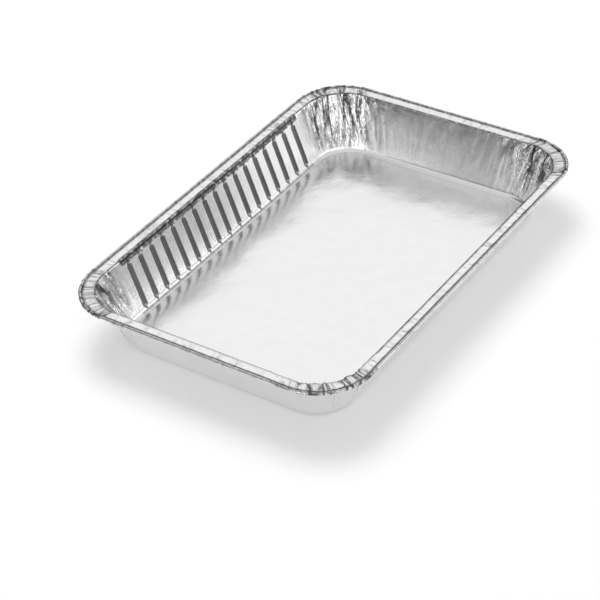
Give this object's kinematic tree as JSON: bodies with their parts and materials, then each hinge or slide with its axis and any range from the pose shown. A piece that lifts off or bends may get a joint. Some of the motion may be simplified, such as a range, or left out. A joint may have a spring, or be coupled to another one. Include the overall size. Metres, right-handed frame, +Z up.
{
  "type": "foil drip pan",
  "caption": "Shallow rectangular foil pan with fluted long walls, gathered round corners and a flat flange that ends in a rolled edge.",
  "frame": {"origin": "middle of the base's underside", "axes": "+X along the length, +Y across the width, +Z up out of the pan"},
  "size_m": [0.315, 0.215, 0.04],
  "materials": {
    "foil": "bright foil"
  },
  "bodies": {
    "root": {"foil_pan": "foil"}
  },
  "joints": []
}
